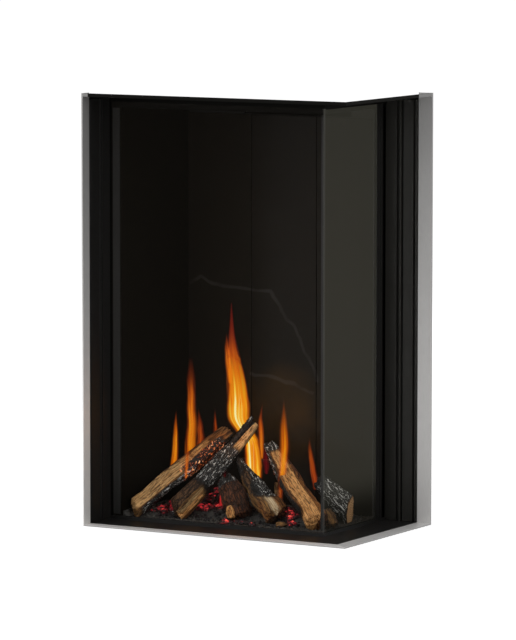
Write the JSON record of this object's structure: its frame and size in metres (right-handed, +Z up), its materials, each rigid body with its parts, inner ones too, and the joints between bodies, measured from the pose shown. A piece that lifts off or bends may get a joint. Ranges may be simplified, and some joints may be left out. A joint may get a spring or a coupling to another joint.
{
  "type": "corner gas fireplace",
  "caption": "Tall two-sided corner gas fireplace: frameless glass corner, steel-lined reveals, black firebox, ceramic log set, rear balanced flue and control compartment.",
  "frame": {"origin": "middle of the whole box's bottom face, on the floor or plinth that the base pan stands on", "axes": "+Z up, +Y from the front opening into the wall, +X to the right along the front opening, towards the side opening"},
  "size_m": [0.606, 0.515, 0.88],
  "materials": {
    "zinc_sheet": "spangled zinc coated sheet",
    "trim_steel": "fine brushed stainless steel",
    "black_steel": "satin black heat resistant paint",
    "firebox_steel": "matt black heat resistant paint",
    "black_liner": "glossy black ceramic glass liner",
    "clear_glass": "clear ceramic glass",
    "rope_seal": "black woven glass rope",
    "granulate": "dark grey vermiculite and granulate",
    "embers": "glowing ember chips",
    "log_ceramic": "painted ceramic fibre logs, charred and split wood look",
    "steel_parts": "plain steel",
    "white_ceramic": "white ceramic insulator",
    "brass": "turned brass",
    "copper_pipe": "drawn copper pipe",
    "flue_steel": "bright stainless steel tube",
    "cast_valve": "die cast aluminium",
    "black_plastic": "fine textured black plastic",
    "light_plastic": "pale grey plastic"
  },
  "bodies": {
    "casing": {"base_pan": "zinc_sheet", "left_panel": "zinc_sheet", "rear_panel": "zinc_sheet", "right_panel": "zinc_sheet", "top_panel": "zinc_sheet", "header_front": "black_steel", "header_side": "black_steel", "trim_left": "trim_steel", "trim_right": "trim_steel", "trim_bottom_front": "trim_steel", "trim_bottom_side": "trim_steel", "reveal_left": "black_steel", "reveal_right": "black_steel", "sill_front": "black_steel", "sill_side": "black_steel", "upper_channel_front": "black_steel", "upper_channel_side": "black_steel", "glass_side": "clear_glass", "glass_seals": "rope_seal", "side_glass_clamp": "black_steel", "firebox_floor": "firebox_steel", "firebox_left": "firebox_steel", "firebox_right": "firebox_steel", "firebox_back": "firebox_steel", "firebox_roof": "firebox_steel", "back_liner_left": "black_liner", "back_liner_centre": "black_liner", "back_liner_right": "black_liner", "burner_tray": "firebox_steel", "mixing_tube": "steel_parts", "granulate_bed": "granulate", "ember_layer": "embers", "log_rest": "firebox_steel", "log_back_left": "log_ceramic", "log_front_left": "log_ceramic", "log_centre": "log_ceramic", "log_right": "log_ceramic", "log_far_right": "log_ceramic", "bark_chips": "log_ceramic", "pilot_burner": "steel_parts", "pilot_probes": "white_ceramic", "flue_collector": "zinc_sheet", "exhaust_collar": "flue_steel", "air_collar": "flue_steel", "hinge_pins": "steel_parts", "control_box": "zinc_sheet", "gas_valve": "cast_valve", "gas_pipe": "copper_pipe", "receiver": "black_plastic", "wall_bracket_left": "zinc_sheet", "wall_bracket_right": "zinc_sheet", "casing_screws": "steel_parts"},
    "front_glass": {"glass_front": "clear_glass"},
    "air_shutter": {"air_shutter": "brass"},
    "flue_restrictor": {"flue_restrictor": "zinc_sheet"},
    "relief_flap": {"relief_flap": "zinc_sheet"},
    "control_door": {"control_door": "zinc_sheet"},
    "flame_knob": {"flame_knob": "black_plastic"},
    "pilot_knob": {"pilot_knob": "black_plastic"},
    "rocker_switch": {"rocker_switch": "light_plastic"}
  },
  "joints": [
    {"name": "glass_lift", "type": "slide", "parent": "casing", "child": "front_glass", "axis": [0, 0, 1], "range_m": [0, 0.008]},
    {"name": "relief_flap_hinge", "type": "hinge", "parent": "casing", "child": "relief_flap", "pos_m": [0.052, -0.0215, 0.8532], "axis": [-1, 0, 0], "range_deg": [0, 70]},
    {"name": "restrictor_slide", "type": "slide", "parent": "casing", "child": "flue_restrictor", "axis": [0, 0, 1], "range_m": [0, 0.04]},
    {"name": "air_shutter_turn", "type": "hinge", "parent": "casing", "child": "air_shutter", "pos_m": [-0.153, 0.1745, 0.0102], "axis": [0, 1, 0], "range_deg": [0, 60]},
    {"name": "control_door_hinge", "type": "hinge", "parent": "casing", "child": "control_door", "pos_m": [-0.3003, 0.2541, 0.12], "axis": [0, 0, -1], "range_deg": [0, 90]},
    {"name": "flame_knob_turn", "type": "hinge", "parent": "casing", "child": "flame_knob", "pos_m": [-0.274, 0.2135, 0.148], "axis": [-1, 0, 0], "range_deg": [0, 240]},
    {"name": "pilot_knob_turn", "type": "hinge", "parent": "casing", "child": "pilot_knob", "pos_m": [-0.272, 0.2135, 0.092], "axis": [-1, 0, 0], "range_deg": [0, 90]},
    {"name": "rocker_tilt", "type": "hinge", "parent": "casing", "child": "rocker_switch", "pos_m": [-0.2871, 0.2135, 0.21], "axis": [0, -1, 0], "range_deg": [0, 12]}
  ]
}
